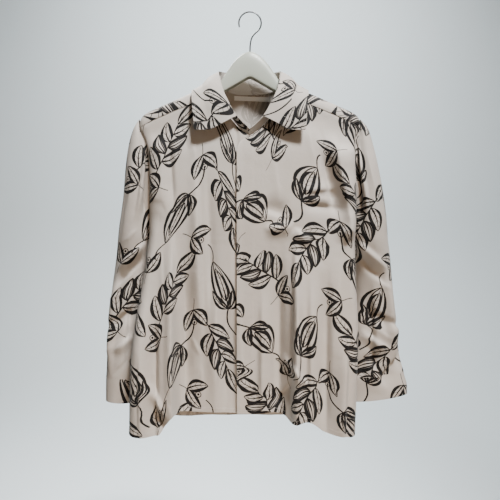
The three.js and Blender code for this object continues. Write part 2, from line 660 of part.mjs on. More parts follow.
// The hook's wire: up from the crown, out to one side and round to its open end
class HookCurve extends THREE.Curve {
  getPoint(part, target = new THREE.Vector3()) {
    const stemFoot = -hangerRows[0].top + seamGap;
    const centre = wireRadius - hookRadius;
    const joinAngle = -0.9;
    const endAngle = 3.5;
    const stemShare = 0.38;
    if (part > stemShare) {
      const angle = blend(joinAngle, endAngle, (part - stemShare) / (1 - stemShare));
      return target.set(hookRadius * Math.cos(angle), 0, centre + hookRadius * Math.sin(angle));
    }
    const across = Math.cos(joinAngle);
    const up = Math.sin(joinAngle);
    const join = new THREE.Vector3(hookRadius * across, 0, centre + hookRadius * up);
    const bend = new THREE.CubicBezierCurve3(
      new THREE.Vector3(0, 0, stemFoot),
      new THREE.Vector3(0, 0, stemFoot + 26),
      new THREE.Vector3(join.x + up * 12, 0, join.z - across * 12),
      join,
    );
    return target.copy(bend.getPoint(part / stemShare));
  }
}

function makeHook() {
  const section = new THREE.Shape();
  section.absarc(0, 0, wireRadius, 0, 2 * Math.PI, false);
  return new THREE.ExtrudeGeometry(section, { extrudePath: new HookCurve(), steps: 40, curveSegments: 4 });
}

const shirt = new THREE.Group();

function addMesh(name, geometry, finish) {
  const mesh = new THREE.Mesh(geometry, new THREE.MeshStandardMaterial(finish));
  mesh.name = name;
  shirt.add(mesh);
}

// Fronts: the wearer's left one is on the viewer's right and laps over the other
addMesh("front_left", makeWall((i, j) => frontPoint(1, -lapOver, i, j), 22, 18), clothFront);
addMesh("front_right", makeWall((i, j) => frontPoint(-1, -lapUnder, i, j), 20, 18), clothFront);
addMesh("back", makeWall(backPoint, 30, 15), clothFront);
addMesh("yoke", makeWall(yokePoint, 30, 12), clothFront);

// Sleeves and cuffs
addMesh("sleeve_left", makeWall((i, j) => sleevePoint(1, rightSleeveRows, i, j), 20, 18), clothFront);
addMesh("sleeve_right", makeWall((i, j) => sleevePoint(-1, leftSleeveRows, i, j), 20, 18), clothFront);
addMesh("cuff_left", makeWall((i, j) => cuffPoint(1, rightSleeveRows, rightCuff, i, j), 20, 2), clothCuff);
addMesh("cuff_right", makeWall((i, j) => cuffPoint(-1, leftSleeveRows, leftCuff, i, j), 20, 2), clothCuff);

// Collar
addMesh("collar_stand", makeWall(standPoint, 28, 2), clothCollar);
addMesh("collar", makeWall(fallPoint, 28, 4), clothCollar);
addMesh("neck_label", makeWall(labelPoint, 6, 1, 1), tapeWhite);

// Hanger
addMesh("hanger", makeHanger(), hangerCream);
addMesh("hanger_hook", makeHook(), wireDark);

export default shirt;
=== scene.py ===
import math
from functools import partial

import bpy
import numpy as np
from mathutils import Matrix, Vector


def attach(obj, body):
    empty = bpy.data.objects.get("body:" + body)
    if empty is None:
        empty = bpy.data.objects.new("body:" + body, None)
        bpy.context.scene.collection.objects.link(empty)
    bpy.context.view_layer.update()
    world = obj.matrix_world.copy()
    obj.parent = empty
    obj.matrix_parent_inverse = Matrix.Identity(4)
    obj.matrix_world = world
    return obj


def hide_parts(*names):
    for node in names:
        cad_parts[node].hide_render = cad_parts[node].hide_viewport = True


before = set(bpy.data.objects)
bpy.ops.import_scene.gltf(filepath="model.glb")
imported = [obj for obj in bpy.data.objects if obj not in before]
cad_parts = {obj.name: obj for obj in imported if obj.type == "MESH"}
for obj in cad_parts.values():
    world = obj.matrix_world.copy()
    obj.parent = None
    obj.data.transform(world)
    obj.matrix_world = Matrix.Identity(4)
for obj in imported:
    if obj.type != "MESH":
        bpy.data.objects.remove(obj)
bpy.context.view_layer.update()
mm = 0.001  # the tables below are in millimetres, the scene is in metres
print("frame loaded")

# Camera first: level, in front of the middle of the shirt
view = {"away": 1.1, "height": -0.487, "lens": 38.6}
cameraData = bpy.data.cameras.new("camera")
cameraData.lens = view["lens"]
camera = bpy.data.objects.new("camera", cameraData)
camera.location = (0, -view["away"], view["height"])
camera.rotation_euler = (math.radians(90), 0, 0)
bpy.context.scene.collection.objects.link(camera)
bpy.context.scene.camera = camera


# Curves and tables

def smooth(value):
    part = np.clip(value, 0, 1)
    return part * part * (3 - 2 * part)


def blend(start, end, part):
    return start + (end - start) * part


def readTable(table, value, column):  # smooth, by the table's first column
    at = np.array(next(iter(table.values())), float)
    data = np.array(table[column], float)
    steps = np.diff(data) / np.diff(at)
    slopes = np.empty(len(at))
    slopes[0] = steps[0]
    slopes[-1] = steps[-1]
    same = steps[:-1] * steps[1:] > 0
    total = np.where(same, steps[:-1] + steps[1:], 1)
    slopes[1:-1] = np.where(same, 2 * steps[:-1] * steps[1:] / total, 0)
    value = np.clip(value, at[0], at[-1])
    low = np.clip(np.searchsorted(at, value, side="right") - 1, 0, len(at) - 2)
    span = at[low + 1] - at[low]
    part = (value - at[low]) / span
    rise = data[low + 1] - data[low]
    lean = part * (1 - part) * (slopes[low] * span * (1 - part) - slopes[low + 1] * span * part)
    return data[low] + rise * smooth(part) + lean


crease = {"steep": 0.5, "gentle": 1.3, "ends": 0.38, "bold": 1.6}


def creaseHeight(creases, x, down):  # full along its middle and gone at its ends, with one side steeper
    height = np.zeros(np.broadcast(x, down).shape)
    for x1, down1, x2, down2, wide, high in creases:
        runX = x2 - x1
        runDown = down2 - down1
        along = ((x - x1) * runX + (down - down1) * runDown) / (runX ** 2 + runDown ** 2)
        away = ((x - x1) * runDown - (down - down1) * runX) / math.hypot(runX, runDown)
        share = blend(crease["gentle"], crease["steep"], smooth(away / wide * 2 + 0.5))
        ends = smooth(along / crease["ends"]) * smooth((1 - along) / crease["ends"])
        height = height + high * ends * np.exp(-((away / (abs(wide) * share)) ** 2))
    return height


def stack(x, y, z):
    return np.stack(np.broadcast_arrays(x, y, z), -1).astype(float)


def unit(vectors):
    return vectors / np.maximum(np.linalg.norm(vectors, axis=-1, keepdims=True), 1e-9)


# The body: sizes by level ("down" from the hook) and by distance from the centre line ("out")
body = {
    "seam": 0.06, "shoulderSeam": 0.12, "ridgeTurn": 30, "yokeBackDown": 268, "neckHalfWidth": 72,
    "shoulderReach": 222, "tipReach": 214, "backHem": 832, "widest": 238, "lapOver": 26, "lapUnder": 12,
    "lapLift": 2.3, "lapFade": 70, "lapCurl": 2.2, "lapCurlWide": 8, "lapDip": 2, "lapDipWide": 5,
    "seamDip": 1.2, "seamDipWide": 3.5, "cloth": 0.8, "ripple": 0.5, "backRipple": 0.6,
    "hemSpread": 1.06, "backReach": 250, "backTurn": 170, "backTurnWide": 50,
}
leftSide = {
    "down": [226, 242, 266, 304, 380, 430, 458, 545, 643, 740, 850],
    "wide": [225, 222, 209, 202.5, 201, 203, 204, 214, 229, 237, 238],
    "roll": [12, 18, 26, 30, 28, 24, 20, 18, 20, 20, 20],
    "front": [-24, -26, -32, -38, -42, -44, -46, -52, -58, -62, -64],
    "back": [20, 22, 25, 27, 26, 23, 20, 12, 6, 2, 0],
    "backRoll": [14, 14, 16, 18, 20, 22, 26, 44, 56, 60, 60],
    "seam": [0, 0, 0, 0, -1, -3, -5, -18, -30, -37, -40],
    "slit": [12, 17, 23, 26, 21, 9, 0, 0, 0, 0, 0],
}
rightSide = {
    "down": [226, 242, 266, 310, 380, 430, 458, 545, 643, 740, 850],
    "wide": [225, 222, 211, 210, 214, 213, 211, 212, 215, 212, 207],
    "roll": [14, 20, 31, 36, 27, 18, 15, 18, 20, 20, 20],
    "front": [-24, -27, -34, -40, -44, -46, -47, -52, -57, -60, -62],
    "back": leftSide["back"],
    "backRoll": [14, 14, 16, 18, 20, 22, 26, 44, 56, 58, 58],
    "seam": [0, 0, 0, 0, -1, -3, -5, -18, -29, -34, -37],
    "slit": [12, 16, 21, 24, 19, 8, 0, 0, 0, 0, 0],
}
centre = {
    "down": [170, 240, 300, 400, 500, 620, 720, 850],
    "front": [-28, -40, -47, -49, -43, -36, -31, -28],
    "back": [29, 28, 30, 32, 33, 31, 29, 25],
}
ridge = {"out": [0, 72, 114, 150, 183, 206, 218, 226], "down": [139, 147, 165, 181, 196, 206.5, 214, 222]}
neckline = {"out": [-26, -20, -10, 0, 22, 42, 60, 72], "down": [288, 275, 267, 262, 244, 218, 193, 177]}
hem = {
    "x": [-238, -200, -166, -150, -134, -60, 0, 40, 70, 88, 117, 154, 207],
    "down": [846, 850, 847, 826, 809, 811, 814, 811, 815, 827, 821, 841, 850],
}
yokeColumns = {
    "column": list(range(16)),
    "top": [0, 24, 45, 60, 68.5, 72, 72, 72, 72, 92, 113, 135, 157, 179, 202, 222],
    "start": [1.85, 1.8, 1.66, 1.45, 1.22, 1, 0.66, 0.33, 0, 0, 0, 0, 0, 0, 0, 0],
    "bottom": [0, 16, 32, 46, 59, 71, 83, 95, 107, 121, 136, 152, 169, 187, 205, 222],
}
neckColumns = 8
deepFolds = {"leftOut": 144, "leftWide": 6.5, "leftTop": 400, "leftFull": 560,
             "rightOut": 77, "rightWide": 14, "rightTop": 430, "rightFull": 540, "early": 1.4}

# Creases: start x, start down, end x, end down, width, height towards the outside
frontCreases = [
    (-108, 290, -96, 690, 10, 6), (-84, 310, -76, 650, -9, -4), (-154, 400, -152, 900, 10, 8),
    (-130, 470, -128, 850, -12, -7), (-214, 540, -210, 900, -14, 8), (-186, 590, -184, 900, 13, -9),
    (-184, 240, -172, 440, -14, 7), (-162, 250, -150, 420, 12, -5), (-204, 735, -158, 820, 10, 8),
    (-184, 780, -160, 870, -9, -7), (-66, 500, -70, 850, 12, 6), (-44, 540, -50, 850, -13, -6),
    (90, 440, 86, 890, -9, 9), (58, 460, 56, 880, 18, -8), (26, 540, 24, 860, -14, 6),
    (24, 446, 92, 440, 12, 6), (84, 444, 124, 476, 10, 6), (20, 400, 76, 420, -15, -5),
    (164, 250, 206, 440, 12, 14), (140, 280, 172, 430, -14, -9), (212, 395, 186, 480, 12, 10),
    (94, 396, 190, 406, 9, -3.5), (90, 374, 184, 362, -9, 3), (152, 500, 146, 890, 16, -9),
    (120, 520, 118, 860, -12, 6), (188, 620, 176, 900, 13, 9), (60, 690, 120, 760, 9, 5),
    (50, 800, 92, 740, 10, -6), (-202, 250, -188, 420, 9, -7), (204, 262, 216, 400, 8, -5),
]
fineFrontCreases = [
    (-200, 300, -176, 372, 4, 1.6), (-196, 340, -160, 430, 5, -1.5), (-120, 225, -104, 330, 6, 1.4),
    (-140, 215, -120, 300, 6, -1.2), (-60, 330, -48, 470, 6, 1.3), (-30, 300, -24, 520, 5, -1),
    (-118, 655, -96, 700, 4, 2), (-176, 470, -168, 600, 5, 1.6), (-168, 760, -138, 840, 5, 1.8),
    (-226, 640, -220, 820, 6, -1.8), (-100, 690, -92, 800, 6, 1.4), (-20, 600, -14, 810, 6, 1.3),
    (110, 225, 128, 320, 6, 1.4), (134, 226, 160, 330, 6, -1.4), (46, 300, 60, 400, 6, 1.2),
    (100, 384, 190, 388, 4, 1.8), (60, 436, 100, 430, 4, 1.8), (112, 474, 150, 520, 5, -1.6),
    (170, 440, 206, 470, 5, 1.8), (176, 500, 168, 640, 6, 1.6), (136, 660, 132, 830, 6, 1.6),
    (104, 600, 100, 800, 5, -1.6), (40, 640, 42, 800, 6, 1.5), (198, 560, 200, 700, 6, -1.5),
]
backCreases = [
    (-168, 300, -150, 520, 15, 5), (-150, 560, -156, 880, 15, 8), (-120, 520, -122, 880, 14, -6),
    (-84, 330, -78, 880, 16, 7), (-46, 420, -42, 880, 15, -6), (-8, 300, 2, 860, 16, 5),
    (36, 470, 44, 880, 15, -7), (80, 340, 84, 880, 16, 8), (118, 560, 124, 880, 13, -5),
    (158, 310, 146, 540, 15, 5), (156, 600, 160, 880, 14, 7), (-176, 452, -60, 408, 12, -4),
    (176, 448, 66, 410, 12, -4),
]
fineBackCreases = [
    (-190, 300, -150, 380, 5, 1.6), (-180, 400, -110, 380, 6, 1.5), (-60, 290, -52, 420, 6, 1.3),
    (20, 300, 26, 430, 6, -1.3), (110, 300, 96, 420, 6, 1.4), (186, 330, 140, 420, 5, 1.6),
    (-100, 600, -102, 820, 6, 1.6), (-20, 560, -16, 800, 6, -1.5), (60, 600, 64, 820, 6, 1.5),
    (140, 620, 138, 800, 6, 1.4), (-176, 600, -182, 800, 6, -1.4), (150, 460, 60, 470, 5, 1.5),
]


def sideValue(side, down, column):
    left = readTable(leftSide, down, column)
    return np.where(side < 0, left, readTable(rightSide, down, column))


def ripple(x, down, high):  # slow unevenness, so that no stretch of cloth is dead flat
    waves = np.sin(x / 23 + down / 61) + np.sin(down / 37 - x / 51 + 1.7)
    return high * (waves + 0.6 * np.sin(x / 11 - down / 83 + 0.6)) / 2.6


def frontDepth(x, down):
    left = x < 0
    foldOut, foldWide, foldTop, foldFull = (
        np.where(left, deepFolds["left" + part], deepFolds["right" + part])
        for part in ("Out", "Wide", "Top", "Full"))
    side = np.where(left, -1, 1)
    folded = smooth((down - foldTop) / (foldFull - foldTop))
    even = (np.abs(x) / sideValue(side, down, "wide")) ** 2
    stepped = np.clip((np.abs(x) - foldOut) / (2 * foldWide) + 0.5, 0, 1) ** deepFolds["early"]
    middle = readTable(centre, down, "front")
    hung = blend(middle, sideValue(side, down, "front"), blend(even, stepped, folded))
    below = smooth((down - readTable(ridge, np.abs(x), "down") - body["ridgeTurn"]) / 70)
    creased = crease["bold"] * creaseHeight(frontCreases, x, down) + creaseHeight(fineFrontCreases, x, down)
    creased = creased + ripple(x, down, body["ripple"])
    return blend(np.maximum(-28, hung), hung, below) - below * creased


def backDepth(x, down):
    side = np.where(x < 0, -1, 1)
    even = (np.abs(x) / sideValue(side, down, "wide")) ** 2
    hung = blend(readTable(centre, down, "back"), sideValue(side, down, "back"), even)
    below = smooth((down - body["yokeBackDown"]) / 60)
    creased = crease["bold"] * creaseHeight(backCreases, x, down) + creaseHeight(fineBackCreases, x, down)
    return hung + below * (creased + ripple(x, down, body["backRipple"]))


def panelPoint(side, part, start, down, isFront):  # flat from the centre, then round the roll to the seam
    wide = sideValue(side, down, "wide")
    roll = sideValue(side, down, "roll" if isFront else "backRoll")
    slit = np.maximum(body["seam"], sideValue(side, down, "slit"))
    seam = sideValue(side, down, "seam") + (-slit if isFront else slit)
    depthAt = frontDepth if isFront else backDepth
    flat = wide - roll
    flatDepth = depthAt(side * flat, down)
    quarter = (math.pi / 2) * np.sqrt((roll ** 2 + (flatDepth - seam) ** 2) / 2)
    reach = blend(start, flat + quarter, part)
    angle = (reach - flat) / quarter * (math.pi / 2)
    rolled = reach > flat
    x = np.where(rolled, side * (flat + roll * np.sin(angle)), side * reach)
    y = np.where(rolled, seam + (flatDepth - seam) * np.cos(angle), depthAt(side * reach, down))
    return stack(x, y, -down)


def hemDown(x):
    return readTable(hem, x, "down")


def frontTopDown(out):
    shoulder = readTable(ridge, out, "down") + body["ridgeTurn"]
    return np.where(out < body["neckHalfWidth"], readTable(neckline, out, "down"), shoulder)


def frontPoint(side, start, part, low):
    guessOut = np.minimum(220, blend(start, body["shoulderReach"], part))
    top = frontTopDown(np.minimum(guessOut, body["tipReach"]))
    bottom = hemDown(side * np.minimum(guessOut * body["hemSpread"], body["widest"]))
    point = panelPoint(side, part, start, blend(top, bottom, low), True)
    if start < -body["lapUnder"]:
        curl = body["lapCurl"] * np.exp(-((guessOut + body["lapOver"]) / body["lapCurlWide"]) ** 2)
        point[..., 1] -= body["lapLift"] * smooth((body["lapFade"] - np.abs(point[..., 0])) / 30) + curl
    elif side < 0:
        dip = np.exp(-((guessOut - body["lapOver"] - 1) / body["lapDipWide"]) ** 2)
        point[..., 1] += body["lapDip"] * dip
    point[..., 1] += body["seamDip"] * np.exp(-low * (bottom - top) / body["seamDipWide"])
    return point


def backPoint(across, low):
    side = np.where(across < 0.5, -1, 1)
    part = np.abs(across - 0.5) * 2
    x = np.minimum(part * body["backReach"], body["widest"])
    turning = smooth((x - body["backTurn"]) / body["backTurnWide"])
    bottom = blend(body["backHem"], hemDown(side * x), turning)
    return panelPoint(side, part, 0, blend(body["yokeBackDown"], bottom, low), False)


def yokeSurface(side, out, way):  # front seam at 0, ridge at 1, its back foot at 2, back seam at 3
    part = out / body["shoulderReach"]
    nearOut = np.minimum(body["tipReach"], np.maximum(out, body["neckHalfWidth"]))
    front = panelPoint(side, part, 0, frontTopDown(nearOut) - body["shoulderSeam"], True)
    back = panelPoint(side, part, 0, body["yokeBackDown"] - body["seam"], False)
    ridgeOut = (np.abs(front[..., 0]) + np.abs(back[..., 0])) / 2
    top = readTable(ridge, ridgeOut, "down")
    turned = np.minimum(body["ridgeTurn"], -back[..., 2] - top - 1)
    fore = np.clip(1 - way, 0, 1) * (math.pi / 2)
    aft = np.clip(way - 1, 0, 1) * (math.pi / 2)
    frontX = blend(side * ridgeOut, front[..., 0], np.sin(fore))
    frontZ = -top - (-front[..., 2] - top) * (1 - np.cos(fore))
    overFront = stack(frontX, front[..., 1] * np.sin(fore), frontZ)
    backX = blend(side * ridgeOut, back[..., 0], np.sin(aft))
    overBack = stack(backX, back[..., 1] * np.sin(aft), -top - turned * (1 - np.cos(aft)))
    hanging = stack(back[..., 0], back[..., 1], blend(-top - turned, back[..., 2], way - 2))
    way = np.broadcast_to(way, overBack.shape[:-1])[..., None]
    return np.where(way < 1, overFront, np.where(way < 2, overBack, hanging))


def yokePoint(across, low):
    side = np.where(across < 0.5, -1, 1)
    column = np.abs(across - 0.5) * 2 * yokeColumns["column"][-1]
    top = readTable(yokeColumns, column, "top")
    start = readTable(yokeColumns, column, "start")
    out = blend(top, readTable(yokeColumns, column, "bottom"), low)
    return yokeSurface(side, out, blend(start, 3, low))


# Making cloth from a function of two fractions, across and down

def surfaceAt(pointAt, i, j):  # place and direction outwards of the sheet's middle
    step = 0.002
    iLow, iHigh = np.clip(i - step, 0, 1), np.clip(i + step, 0, 1)
    jLow, jHigh = np.clip(j - step, 0, 1), np.clip(j + step, 0, 1)
    across = pointAt(iHigh, j) - pointAt(iLow, j)
    down = pointAt(i, jHigh) - pointAt(i, jLow)
    return pointAt(i, j), unit(np.cross(across, down))


def sheetLines(count, extra=()):  # even fractions, with more lines where a hem or edge turns
    count = count
    return np.unique(np.concatenate([np.linspace(0, 1, count + 1), np.array(extra, float)]))


def cutLengths(points, axis):
    step = np.linalg.norm(np.diff(points, axis=axis), axis=-1)
    zero = np.zeros_like(np.take(step, [0], axis=axis))
    return np.concatenate([zero, np.cumsum(step, axis=axis)], axis=axis)


def makeMesh(name, vertices, faces, uv, finishes, finishOf):
    mesh = bpy.data.meshes.new(name)
    mesh.from_pydata((vertices * mm).tolist(), [], faces.tolist())
    layer = mesh.uv_layers.new(name="cut")
    corner = np.empty(len(mesh.loops), int)
    mesh.loops.foreach_get("vertex_index", corner)
    layer.data.foreach_set("uv", uv[corner].astype(np.float32).ravel())
    for finish in finishes:
        mesh.materials.append(finish)
    mesh.polygons.foreach_set("material_index", finishOf.astype(np.int32))
    mesh.polygons.foreach_set("use_smooth", np.ones(len(faces), bool))
    mesh.update()
    piece = bpy.data.objects.new(name, mesh)
    bpy.context.scene.collection.objects.link(piece)
    bpy.ops.object.select_all(action="DESELECT")
    piece.select_set(True)
    bpy.context.view_layer.objects.active = piece
    bpy.ops.object.shade_smooth_by_angle(angle=math.radians(50))
    return piece


def makeCloth(name, pointAt, lines, middle, finishes, cutFrom, thick):
    iLine, jLine = lines
    j, i = np.meshgrid(jLine, iLine, indexing="ij")
    points, normals = surfaceAt(pointAt, i, j)
    axis = np.array(middle, float) if middle is not None else points.mean(axis=1, keepdims=True)
    away = points - axis
    away[..., 2] = 0
    outward = 1 if (normals * away).sum() > 0 else -1
    normals = normals * outward
    thick = thick(i, j)[..., None] if callable(thick) else thick
    outer = points + normals * thick / 2
    inner = points - normals * thick / 2
    rows, columns = i.shape
    across = cutLengths(points, 1)
    across = across - across[:, [columns // 2]]
    downward = cutLengths(points, 0)[:, [columns // 2]] + np.zeros_like(across)
    cut = np.stack([across, downward], -1).reshape(-1, 2) * mm + np.array(cutFrom, float)
    count = rows * columns
    index = np.arange(count).reshape(rows, columns)
    a, b = index[:-1, :-1].ravel(), index[:-1, 1:].ravel()
    c, d = index[1:, 1:].ravel(), index[1:, :-1].ravel()
    top, bottom = index[0], index[-1]
    first, last = index[:, 0], index[:, -1]
    walls = [
        np.stack([a, b, c, d], -1),
        np.stack([a, d, c, b], -1) + count,
        np.stack([top[1:], top[:-1], top[:-1] + count, top[1:] + count], -1),
        np.stack([bottom[:-1], bottom[1:], bottom[1:] + count, bottom[:-1] + count], -1),
        np.stack([first[:-1], first[1:], first[1:] + count, first[:-1] + count], -1),
        np.stack([last[1:], last[:-1], last[:-1] + count, last[1:] + count], -1),
    ]
    faces = np.concatenate(walls)
    inside = np.concatenate([np.full(len(wall), 1 if k == 1 else 0) for k, wall in enumerate(walls)])
    if outward < 0:
        faces = faces[:, ::-1]
    vertices = np.concatenate([outer.reshape(-1, 3), inner.reshape(-1, 3)])
    return makeMesh(name, vertices, faces, np.concatenate([cut, cut]), finishes, inside)


# Sleeves and cuffs. A ring's "turn" starts at the side of the body and goes round by the front
leftSleeve = {
    "down": [243, 262, 290, 330, 380, 425, 460, 500, 560, 640, 700, 752],
    "outerDown": [220, 238, 270, 318, 375, 424, 460, 500, 560, 640, 700, 752],
    "outer": [226.5, 237, 247, 254, 259, 266, 271, 277, 287, 297, 302, 303],
    "inner": [224, 214, 207, 204, 205, 207, 207, 211, 213, 215, 217, 222],
    "depth": [0, 1, 2, 3, 5, 7, 10, 20, 29, 34, 35, 34],
    "half": [13, 25, 32, 38, 41, 41, 41, 41, 41, 41, 40, 35],
    "rise": [0] * 12,
}
rightSleeve = {
    "down": [243, 262, 290, 330, 380, 425, 460, 500, 560, 640, 700, 748],
    "outerDown": [220, 238, 272, 318, 375, 424, 460, 500, 560, 640, 700, 748],
    "outer": [225.5, 240, 251, 262, 273, 279, 282, 290, 298, 306, 315, 324],
    "inner": [223, 217, 213, 214, 217, 217, 215, 215, 215, 214, 212, 211],
    "depth": [0, 1, 2, 3, 5, 7, 10, 20, 29, 34, 35, 32],
    "half": [13, 25, 32, 38, 41, 41, 41, 41, 40, 38, 34, 28],
    "rise": [0, 0, 0, 0, 0, 0, 0, 0, 0, 0, 0.04, 0.1],
}
leftCuff = {"height": 50, "outer": 303, "inner": 226, "depth": 33, "half": 33, "rise": 0}
rightCuff = {"height": 48, "outer": 330, "inner": 212, "depth": 30, "half": 25, "rise": 0.14}
sleeve = {
    "girth": 260, "underarmDown": 458, "armholeStep": 1.1, "seam": 0.1, "bold": 1.3, "ripple": 0.5,
    "seamFade": 0.08, "headFade": 40, "pullShare": 0.2, "pullFade": 12,
}
sleeveCreases = [
    (30, 262, 52, 440, 11, 7), (13, 258, 24, 440, -13, -9), (16, 462, 98, 532, 11, 6),
    (24, 500, 100, 566, -11, -5), (52, 540, 57, 760, 12, -7), (88, 510, 94, 760, -12, 8),
    (36, 600, 112, 650, 12, -6), (30, 650, 90, 700, 10, 6), (114, 620, 120, 760, 10, -6),
    (156, 300, 151, 520, 14, 4), (172, 520, 177, 748, 12, -5), (208, 430, 203, 746, 13, 5),
]
wristCreases = [  # on the wearer's left sleeve only, from above its cuff into it
    (54, 776, 122, 690, 17, -11), (20, 748, 52, 694, 14, -9), (38, 690, 74, 786, 11, 6),
    (84, 640, 126, 668, 12, 5),
]
fineSleeveCreases = [
    (66, 300, 78, 400, 5, 1.6), (90, 330, 96, 470, 6, -1.5), (40, 430, 80, 460, 5, 1.8),
    (30, 500, 70, 560, 5, -1.8), (70, 560, 104, 580, 5, 1.6), (60, 650, 100, 690, 5, 2),
    (44, 690, 84, 736, 5, -1.8), (104, 600, 112, 740, 5, 1.6), (130, 360, 134, 560, 6, 1.5),
    (140, 600, 136, 746, 6, -1.6), (190, 330, 186, 470, 6, 1.5), (190, 560, 222, 620, 6, 1.6),
    (160, 620, 166, 746, 5, 1.6), (226, 600, 230, 740, 6, -1.6),
]


def ringPoint(side, ring, turn):
    middle = (ring["outer"] + ring["inner"]) / 2
    offset = -(ring["outer"] - ring["inner"]) / 2 * np.cos(2 * math.pi * turn)
    y = ring["depth"] - ring["half"] * np.sin(2 * math.pi * turn)
    z = -blend(ring["down"], ring["outerDown"], np.sin(math.pi * turn) ** 2) + ring["rise"] * offset
    return stack(side * (middle + offset), y, z)


def pushOut(point, side, ring, height):  # moves a sleeve's point straight away from the middle of its ring
    awayX = np.abs(point[..., 0]) - (ring["outer"] + ring["inner"]) / 2
    awayY = point[..., 1] - ring["depth"]
    away = np.maximum(np.hypot(awayX, awayY), 1e-6)
    point[..., 0] += side * awayX / away * height
    point[..., 1] += awayY / away * height


def wristHeight(side, turn, down):
    return creaseHeight(wristCreases, turn * sleeve["girth"], down) if side > 0 else 0


def sleevePoint(side, table, turn, low):
    down = blend(table["down"][0], table["down"][-1] - sleeve["seam"], low ** 0.9)
    ring = {column: readTable(table, down, column) for column in table}
    ring["down"] = down
    point = ringPoint(side, ring, np.clip(turn, 0.0005, 0.9995))
    around = turn * sleeve["girth"]
    height = sleeve["bold"] * creaseHeight(sleeveCreases, around, down)
    height = height + creaseHeight(fineSleeveCreases, around + 4 * side, down + 12 * side)
    height = height + wristHeight(side, turn, down) + ripple(around, down, sleeve["ripple"])
    height = height * smooth(np.minimum(turn, 1 - turn) / sleeve["seamFade"])
    height = height * smooth((down - table["down"][0]) / sleeve["headFade"])
    pushOut(point, side, ring, height)
    front = turn < 0.5
    pull = np.maximum(0, 1 - np.minimum(turn, 1 - turn) / sleeve["pullShare"]) ** 2
    pull = pull * smooth((sleeve["underarmDown"] - down) / sleeve["pullFade"] + 1)
    slit = np.maximum(sleeve["seam"], sideValue(side, down, "slit"))
    seam = sideValue(side, down, "seam") + np.where(front, -slit, slit)
    edge = sideValue(side, down, "wide") + sleeve["armholeStep"]
    end = ringPoint(side, ring, np.where(front, 0.0005, 0.9995))
    point[..., 0] += (side * edge - end[..., 0]) * pull
    point[..., 1] += (seam - end[..., 1]) * pull
    return point


def cuffPoint(side, table, cuff, turn, low):
    part = smooth(low * 1.4)
    ring = {column: blend(table[column][-1], cuff[column], part) for column in cuff if column != "height"}
    ring["down"] = table["down"][-1] + cuff["height"] * low + 0 * turn
    ring["outerDown"] = ring["down"]
    point = ringPoint(side, ring, blend(0.001, 0.999, turn))
    pushOut(point, side, ring, wristHeight(side, turn, ring["down"]))
    return point


# The collar from the centre front (at 0) to the centre back (at 1): its roll line and its free edge
collarRows = {
    "at": [0, 0.14, 0.28, 0.42, 0.5, 0.58, 0.7, 0.84, 1],
    "rollX": [-4, 25, 41, 53, 59, 62, 59, 40, 0],
    "rollY": [-48.5, -53, -52, -45, -28, -8, 14, 32, 38],
    "rollZ": [-253, -226, -199, -171, -145, -126, -118, -115, -114],
    "edgeX": [22, 107, 111, 114.5, 117, 116.5, 106, 70, 0],
    "edgeY": [-56, -60, -57, -46, -22, 6, 32, 43, 47],
    "edgeZ": [-236, -253, -222, -188, -166, -161, -171, -182, -186],
}
collar = {
    "neckFrontShare": 6 / 14, "standInset": 1.9, "fallStart": 0.14, "rollHeight": 5, "rollDepth": 1.4,
    "leafSag": 10, "cloth": 1.1, "rollShare": 1.6, "rollOut": 0.6, "rollUp": 0.5, "leafFrom": 0.34,
    "leafFade": 0.2,
}


def neckEdge(side, at):
    frontOut = body["neckHalfWidth"] * np.minimum(1, at / collar["neckFrontShare"])
    down = readTable(neckline, frontOut, "down")
    front = stack(side * frontOut, frontDepth(side * frontOut, down), -down)
    column = neckColumns * (1 - np.maximum(at, collar["neckFrontShare"])) / (1 - collar["neckFrontShare"])
    out = readTable(yokeColumns, column, "top")
    back = yokeSurface(side, out, readTable(yokeColumns, column, "start"))
    return np.where((at < collar["neckFrontShare"])[..., None], front, back)


def collarPoint(across, line):
    side = np.where(across < 0.5, -1, 1)
    at = 1 - np.abs(across - 0.5) * 2
    x, y, z = (readTable(collarRows, at, line + axis) for axis in "XYZ")
    return stack(side * x, y - side * smooth((0.16 - at) / 0.16) * 1.1, z)


def standPoint(across, up):
    side = np.where(across < 0.5, -1, 1)
    neck = neckEdge(side, 1 - np.abs(across - 0.5) * 2)
    neck = neck - unit(neck * np.array([1, 1, 0])) * collar["standInset"]
    return blend(neck, collarPoint(across, "roll"), np.asarray(up)[..., None])


def fallPoint(across, low):
    place = 0.5 + (across - 0.5) * (1 - collar["fallStart"])
    roll = collarPoint(place, "roll")
    away = unit(roll * np.array([1, 1, 0]))
    up = np.array([0, 0, 1.0])
    over = (np.sin(math.pi * np.minimum(1, low * collar["rollShare"])) * collar["rollHeight"])[..., None]
    lifted = roll + (away + up) * collar["rollDepth"]
    point = blend(lifted, collarPoint(place, "edge"), low[..., None])
    toFront = smooth((collar["leafFrom"] - (1 - np.abs(place - 0.5) * 2)) / collar["leafFade"])
    point[..., 2] -= collar["leafSag"] * toFront * np.sin(math.pi * low)
    return point + away * over * collar["rollOut"] + up * over * collar["rollUp"]


tapeSize = {"left": -33, "right": 41, "back": 26.4, "bow": 0.001, "down": 165, "lean": 0.04, "high": 9.5,
            "cloth": 0.7}


def labelPoint(across, low):
    x = blend(tapeSize["left"], tapeSize["right"], across)
    z = -tapeSize["down"] - tapeSize["lean"] * x - tapeSize["high"] * low
    return stack(x, tapeSize["back"] - tapeSize["bow"] * x * x, z)


# Numbers that flow through a material's nodes

